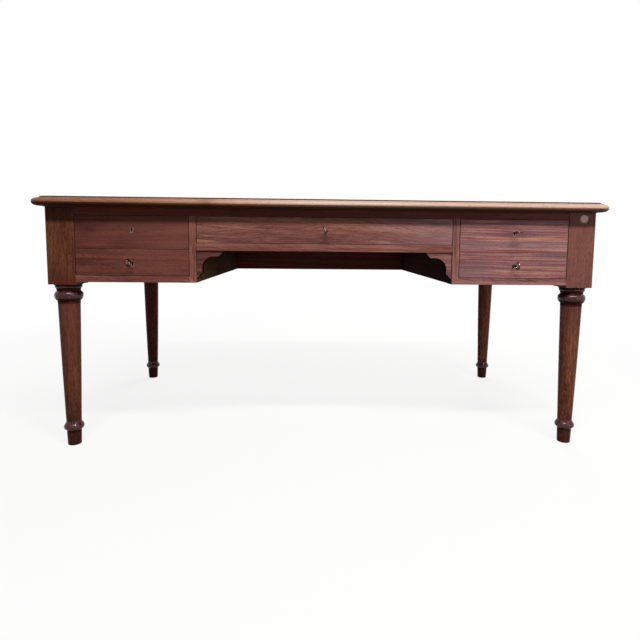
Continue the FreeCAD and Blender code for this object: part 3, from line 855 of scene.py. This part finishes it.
# sawn and never finished: rough, and black with age
sawnWood = {"deep": "#160806", "body": "#2C1610", "light": "#40241A", "cast": "#1E0E0C",
            "gloss": 0.0, "roughness": 0.9}
frameParts = {
    # the rail lies under the top's overhang and is made darker than walnutRed: painted shade
    "front_top_rail": ("X", dict(walnutRed, body="#5A261A", light="#70382A")),
    "centre_rail": ("X", dict(walnutTan, body="#7E4B43", light="#98685C")),
    "lower_rail_left": ("X", dict(walnutTan, body="#7E4C40")),
    "lower_rail_right": ("X", dict(walnutPink, body="#9A6460", castShare=0.2)),
    "blade_left": ("X", walnutRed),
    "blade_right": ("X", walnutRed),
    "divider_left": ("Z", dict(walnutTan, body="#8C594C")),
    "divider_right": ("Z", dict(walnutPink, castShare=0.2)),
    "bracket_left": ("X", dict(walnutRed, body="#683C34", light="#805248")),
    "bracket_right": ("X", dict(walnutPink, body="#825450")),
    "side_panel_left": ("Y", walnutRed),
    "side_panel_right": ("Y", walnutRed),
    "partition_left": ("Y", walnutOlive),
    "partition_right": ("Y", walnutUmber),
    "back_panel": ("X", walnutDark),
}
frameShape = {"arris": 0.9, "edgeLean": 0.8, "seed": 40}


def mitreFoot(piece, keepAbove):
    # the foot of a divider meets the lower rail in a mitre that runs up and out from the kneehole
    side = "left" if piece.name.endswith("Left") else "right"
    low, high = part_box("divider_" + side)
    high.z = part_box("lower_rail_" + side)[1].z
    combine(piece, addBlock("foot", low, high))
    outward = 1 if low.x > 0 else -1
    outer = Vector((high.x if outward > 0 else low.x, low.y, high.z))
    slope = Vector((-outward * (high.z - low.z), 0, high.x - low.x))
    editSelected(piece, "FACE")
    bpy.ops.mesh.bisect(plane_co=outer, plane_no=slope, use_fill=True, clear_inner=keepAbove,
                        clear_outer=not keepAbove)
    leaveEdit()


def makeFrame():
    shape = frameShape
    bares = {"divider_left": walnutOlive, "divider_right": walnutUmber}
    for i, (node, (along, look)) in enumerate(frameParts.items()):
        name = camelName(node)
        seed = shape["seed"] + i
        piece = nodeCopy(node, name)
        woods = threeWoods("waxed walnut, " + name, along, seed=seed, **look)
        if "bracket" in node or "divider" in node:
            bare = bares.get(node, sawnWood)
            woods.append(makeWood("sawn walnut edge, " + name, along, seed=seed, **bare))
        if "divider" in node or "lower_rail" in node:
            mitreFoot(piece, "divider" in node)
        setMaterials(piece, woods)
        bevelSharp(piece, shape["arris"])
        # pale upper arrises are partly painted highlight; side ones get dark wax and painted gap
        # shade
        for face in piece.data.polygons:
            if face.material_index == 1 and face.normal.z < leansTo:
                face.material_index = 0 if face.normal.z < -leansTo else 2
            if "bracket" in node and abs(face.normal.y) < shape["edgeLean"] or (
                    "divider" in node and abs(face.normal.x) > facesTo):
                face.material_index = 3
        smoothFinish(piece)
        joinRecord(piece, "root", node)


makeFrame()
print("frame softened")

# Drawer fronts: the face's arrises are rounded, and its grain runs along
calmShares = {"stripe": 0.22, "streak": 0.16, "slanted": 0.08, "cloud": 0.34, "grit": 0.2}
stripedShares = {"stripe": 0.36, "streak": 0.3, "slanted": 0.04, "cloud": 0.18, "grit": 0.12}
walnutStriped = {  # cut across straight rings: thin even stripes of pink, tan and grey; paler and pinker than the left fronts, partly a painted sheen of light from the right
    "deep": "#6A3A3A", "body": "#905C5A", "light": "#B88474", "cast": "#76545E", "castShare": 0.5,
    "streak": (150, 2.6, 2.0), "cloud": (150, 22, 2.0), "shares": stripedShares, "taper": 0.05,
}
paintedLightEnd = {  # painted light: the left fronts paler towards their right end, where more light falls
    "colour": "#8C584C", "share": 0.26, "ragged": 120, "where": (("x", -650, -480),)}
# partly painted sheen: the right end of the centre front greyer and paler, where light from the
# right falls
greyEnd = {"colour": "#8A6C74", "share": 0.45, "ragged": 90, "where": (("x", 120, 420),)}
greyBand = {  # heartwood
    "colour": "#806A6C", "share": 0.45, "ragged": 16, "where": (("z", 655, 642), ("z", 622, 632))}
tanStreak = {  # sapwood
    "colour": "#C08A56", "share": 0.4, "ragged": 12,
    "where": (("z", 659, 663), ("z", 668, 665), ("x", 590, 660))}
greyLow = {  # heartwood low at the left
    "colour": "#705A60", "share": 0.5, "ragged": 40, "where": (("z", 598, 586), ("x", 565, 490))}
greyHigh = {  # and high at the right
    "colour": "#685256", "share": 0.55, "ragged": 40, "where": (("z", 606, 619), ("x", 640, 680))}
frontLooks = {  # calm red walnut at the left, a waved middle, striped walnut at the right
    "left_upper": dict(walnutRed, body="#613328", light="#78463A", stripe=(900, 10), waveShift=14,
                       pith=(0, 30, 190), shares=calmShares, layers=(paintedLightEnd,)),
    "left_lower": dict(walnutRed, body="#69382D", stripe=(900, 9), waveShift=12,
                       pith=(0, 30, 170), shares=calmShares, layers=(paintedLightEnd,)),
    "centre": {"deep": "#5A2C22", "body": "#855347", "light": "#A87868", "cast": "#6E4E54",
               "stripe": (900, 13), "waveShift": 34, "taper": 0.09, "pith": (0, 40, 130),
               "layers": (greyEnd,)},
    "right_upper": dict(walnutStriped, stripe=(620, 4.5), waveShift=11, pith=(0, 30, 260),
                        layers=(greyBand, tanStreak)),
    "right_lower": dict(walnutStriped, stripe=(620, 4), waveShift=10, pith=(0, 30, 240),
                        layers=(greyLow, greyHigh)),
}
frontShape = {
    "arris": 0.8,
    "lip": 1.3,  # edges this near the face are rounded
    "bevelLip": 1.25,  # and so near it a face that isn't square on is their rounding
    "squareFace": 0.99,
    "margin": 10,  # an edge further in than this is the keyhole's
    "keyholeReach": 20,
    "rubbed": 0.3,  # the fronts are handled more than the frame; their pale upper arris is partly painted highlight
    "seed": 60,
}


def makeFronts():
    shape = frontShape
    margin = metres(shape["margin"])
    for i, (drawer, look) in enumerate(frontLooks.items()):
        node = drawer + "_front"
        name = camelName(node)
        piece = nodeCopy(node, name)
        setMaterials(piece, threeWoods("figured walnut, " + name, "X", rubbed=shape["rubbed"],
                                       seed=shape["seed"] + i, **look))
        low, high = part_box(node)
        middle = (low + high) / 2
        lip = low.y + metres(shape["lip"])

        def onRim(a, b):
            inside = low.x + margin < (a.x + b.x) / 2 < high.x - margin
            inside = inside and low.z + margin < (a.z + b.z) / 2 < high.z - margin
            return max(a.y, b.y) < lip and not inside

        bevelSharp(piece, shape["arris"], onRim, sharpness=20)
        bevelLip = low.y + metres(shape["bevelLip"])
        # upward rounded arrises are pale, partly painted highlight; the rest dark wax and painted
        # gap shade
        for face in piece.data.polygons:
            bevelled = face.center.y < bevelLip and face.normal.y > -shape["squareFace"]
            if bevelled and abs(face.center.x - middle.x) > metres(shape["keyholeReach"]):
                face.material_index = 1 if face.normal.z > leansTo else 2
        smoothFinish(piece)
        joinRecord(piece, drawer + "_drawer", node)


makeFronts()
print("drawer fronts made")

# What the drawers hold and run on keeps the solids' shapes and gets bare oak
oakBare = {  # planed and left bare: dry, straight-grained, greyed by dust
    "deep": "#72502F", "body": "#9C7651", "light": "#BE9970", "cast": "#8A6E54", "castShare": 0.3,
    "stripe": (900, 3.4), "streak": (90, 2, 2.0), "poreColour": "#4A3524", "roughness": 0.62,
    "gloss": 0.2, "seed": 80,
}


def dressInside():
    oaks = {along: makeWood("bare planed oak along " + along, along, **oakBare)
            for along in ("X", "Y")}
    for name, piece in frame["nodes"].items():
        kind = name.split("_")[-1]
        if kind in ("runners", "guides", "kickers", "sides"):
            setMaterials(piece, [oaks["Y"]])
        elif kind in ("stops", "back", "bottom") and not name.startswith("leg"):
            setMaterials(piece, [oaks["X"]])


dressInside()

# Metal: brass and iron let into the fronts, steel keys, a tinned disc
metalGrain = {
    "stain": 5,  # size of the cloudy stains
    "edges": (0.38, 0.62),  # where the noise turns from dark to bright
    "roughEdges": (0.35, 0.65),
    "roughSpread": (0.15, -0.05),
    "scratch": 0.8,  # file marks are 0.1 mm wide, drawn coarser so that they show
    "scratchDepth": 0.1,
    "relief": 0.2,
}
metals = {
    # filed flush and never polished since: brown, with a dull pink-yellow glint
    "liner": {"name": "filed brass, brown with age", "bright": "#8C7062", "dark": "#4C3830",
              "roughness": 0.45},
    # hammered and left in the dark: brown-black, with a broad soft sheen
    "lock": {"name": "forged lock iron, brown with age", "bright": "#5E534C", "dark": "#33281F",
             "roughness": 0.5, "stain": 7},
    # fingers keep the high parts bright and leave near black between: small sharp glints; the near
    # black is partly a painted reflection of dark surroundings
    "key": {"name": "handled steel, bright where fingers rub", "bright": "#A4948C",
            "dark": "#0E0A08", "roughness": 0.2, "stain": 7, "edges": (0.45, 0.6)},
    # the tin has gone dull over pink brass: flat, pale and mottled
    "disc": {"name": "thin tinned brass, tarnished pink-grey", "bright": "#907876",
             "dark": "#6C5856", "roughness": 0.6, "stain": 2.6},
}


def makeMetal(kind):
    look = dict(metalGrain, **metals[kind])
    material = newMaterial(look["name"])
    place = addNode(material, "TexCoord")
    stain = addNode(material, "TexNoise", {
        "Vector": place["Object"], "Scale": 1 / metres(look["stain"]), "Detail": 4.0,
        "Roughness": 0.65})
    scratch = addNode(material, "TexNoise", {
        "Vector": place["Object"], "Scale": 1 / metres(look["scratch"]), "Detail": 2.0})
    tones = list(zip(look["edges"], (look["dark"], look["bright"])))
    colour = addNode(material, "ValToRGB", {"Fac": stain["Fac"]}, stops=tones)
    rough = addNode(material, "MapRange", {
        "Value": stain["Fac"], **span("From", look["roughEdges"]),
        **span("To", [look["roughness"] + v for v in look["roughSpread"]])})
    relief = addNode(material, "Bump", {
        "Height": scratch["Fac"], "Strength": look["relief"],
        "Distance": metres(look["scratchDepth"])})
    surface = addNode(material, "BsdfPrincipled", {
        "Base Color": colour["Color"], "Roughness": rough[0], "Metallic": 1.0, "Normal": relief[0]})
    addNode(material, "OutputMaterial", {"Surface": surface[0]})
    return material


lockShape = {"linerArris": 0.45, "caseArris": 0.4, "caseHeight": 30}  # a bolt is lower
keyShape = {
    "bowMiddle": 35,  # from the drawer's face
    "bowRadius": 10.4,
    "bowWire": 2.6,
    "bowFlat": 0.8,
    "around": 28,
    "tipRings": ((1.1, 0), (2.2, 0.8), (2.75, 1.6)),  # radius and height
    # radius and distance from the bow: stem, collar, and a waist under the bow
    "bowRings": ((2.75, 12), (3.44, 11.4), (4.3, 10), (3.44, 8.6), (2.8875, 8), (2.6125, 3),
                 (3.1625, 1), (1.925, 0)),
    "bit": (2.6, 5.0, 9.4),  # width, length along the stem and reach from its axis
    "bitStart": 0.6,
    "bitArris": 0.35,
    "belowLinerTop": 5.6,
}
keyTurns = {"left_lower": 0, "centre": -48, "right_upper": 90, "right_lower": 0}


def splitParts(piece):
    editAll(piece)
    bpy.ops.mesh.separate(type="LOOSE")
    leaveEdit()
    return list(bpy.context.selected_objects)


def makeLocks():
    shape = lockShape
    lockIron, liner = makeMetal("lock"), makeMetal("liner")
    for drawer in frontLooks:
        node = drawer + "_lock"
        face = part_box(drawer + "_front")[0].y
        for part in splitParts(nodeCopy(node, "lockPart")):
            corners = [v.co for v in part.data.vertices]
            height = max(c.z for c in corners) - min(c.z for c in corners)
            name, metal, arris = "fixed_bolt", lockIron, shape["caseArris"]
            if min(c.y for c in corners) < face:
                name, metal, arris = "keyhole_liner", liner, shape["linerArris"]
            elif height > metres(shape["caseHeight"]):
                name = "lock_case"
            part.name = part.data.name = camelName(drawer, name)
            setMaterials(part, [metal, metal])
            bevelSharp(part, arris, sharpness=45)
            smoothFinish(part)
            joinRecord(part, drawer + "_drawer", node)
        bolt = frame["nodes"].get(drawer + "_bolt")
        if bolt:
            setMaterials(bolt, [lockIron])


def makeKey():
    shape = keyShape
    caseFront = millimetres(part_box("right_lower_front")[0].y)
    stemEnd = millimetres(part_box("centre_key")[1].y)
    radius, wire = shape["bowRadius"], shape["bowWire"]
    length = stemEnd - caseFront + shape["bowMiddle"] - radius + wire
    profile = list(shape["tipRings"]) + [(ring, length - down) for ring, down in shape["bowRings"]]
    key = turnOnLathe("key", profile, shape["around"])
    bpy.ops.mesh.primitive_torus_add(
        major_segments=48, minor_segments=14, major_radius=metres(radius),
        minor_radius=metres(wire), rotation=(0, math.pi / 2, 0),
        location=(0, 0, metres(length + radius - wire)))
    bow = bpy.context.object
    applyPlace(bow)
    editSelected(bow, "FACE")
    bpy.ops.transform.resize(value=(shape["bowFlat"], 1, 1), center_override=(0, 0, 0))
    leaveEdit()
    combine(key, bow)
    width, deep, reach = (metres(v) for v in shape["bit"])
    low = metres(shape["bitStart"])
    bit = addBlock("bit", (-width / 2, 0, low), (width / 2, reach, low + deep))
    editSelected(bit, "EDGE")
    bpy.ops.mesh.bevel(offset=metres(shape["bitArris"]), segments=2, affect="EDGES")
    leaveEdit()
    combine(key, bit)
    key.rotation_euler = (math.pi / 2, 0, 0)
    applyPlace(key)
    return key, metres(stemEnd)


def makeKeys():
    steel = makeMetal("key")
    key, stemEnd = makeKey()
    for drawer, turn in keyTurns.items():
        node = drawer + "_key"
        liner = bpy.data.objects[camelName(drawer, "keyhole_liner")]
        corners = [v.co for v in liner.data.vertices]
        level = max(c.z for c in corners) - metres(keyShape["belowLinerTop"])
        middle = (min(c.x for c in corners) + max(c.x for c in corners)) / 2
        piece = copyOf(key, camelName(node))
        piece.rotation_euler = (0, math.radians(turn), 0)
        piece.location = (middle, stemEnd, level)
        applyPlace(piece)
        setMaterials(piece, [steel])
        smoothFinish(piece, angle=40)
        joinRecord(piece, drawer + "_turnkey", node)
    bpy.data.objects.remove(key)


makeLocks()
makeKeys()
print("locks and keys made")

# Rings of the disc as radius and height over the post: a turned-over rim and a dished face
discShape = {
    "rings": ((12.1, 0), (12.5, 0.3), (12.5, 0.8), (12.1, 1.2), (10.9, 1.2), (10.4, 0.85),
              (6.25, 1.0), (1.5, 1.15)),
    "around": 56,
}


def makeDisc():
    low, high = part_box("post_disc")
    middle = (low + high) / 2
    disc = turnOnLathe("postDisc", discShape["rings"], discShape["around"])
    disc.rotation_euler = (math.pi / 2, 0, 0)
    disc.location = (middle.x, high.y, middle.z)
    applyPlace(disc)
    setMaterials(disc, [makeMetal("disc")])
    smoothFinish(disc, angle=30)
    joinRecord(disc, "root", "post_disc")


makeDisc()
print("disc made")
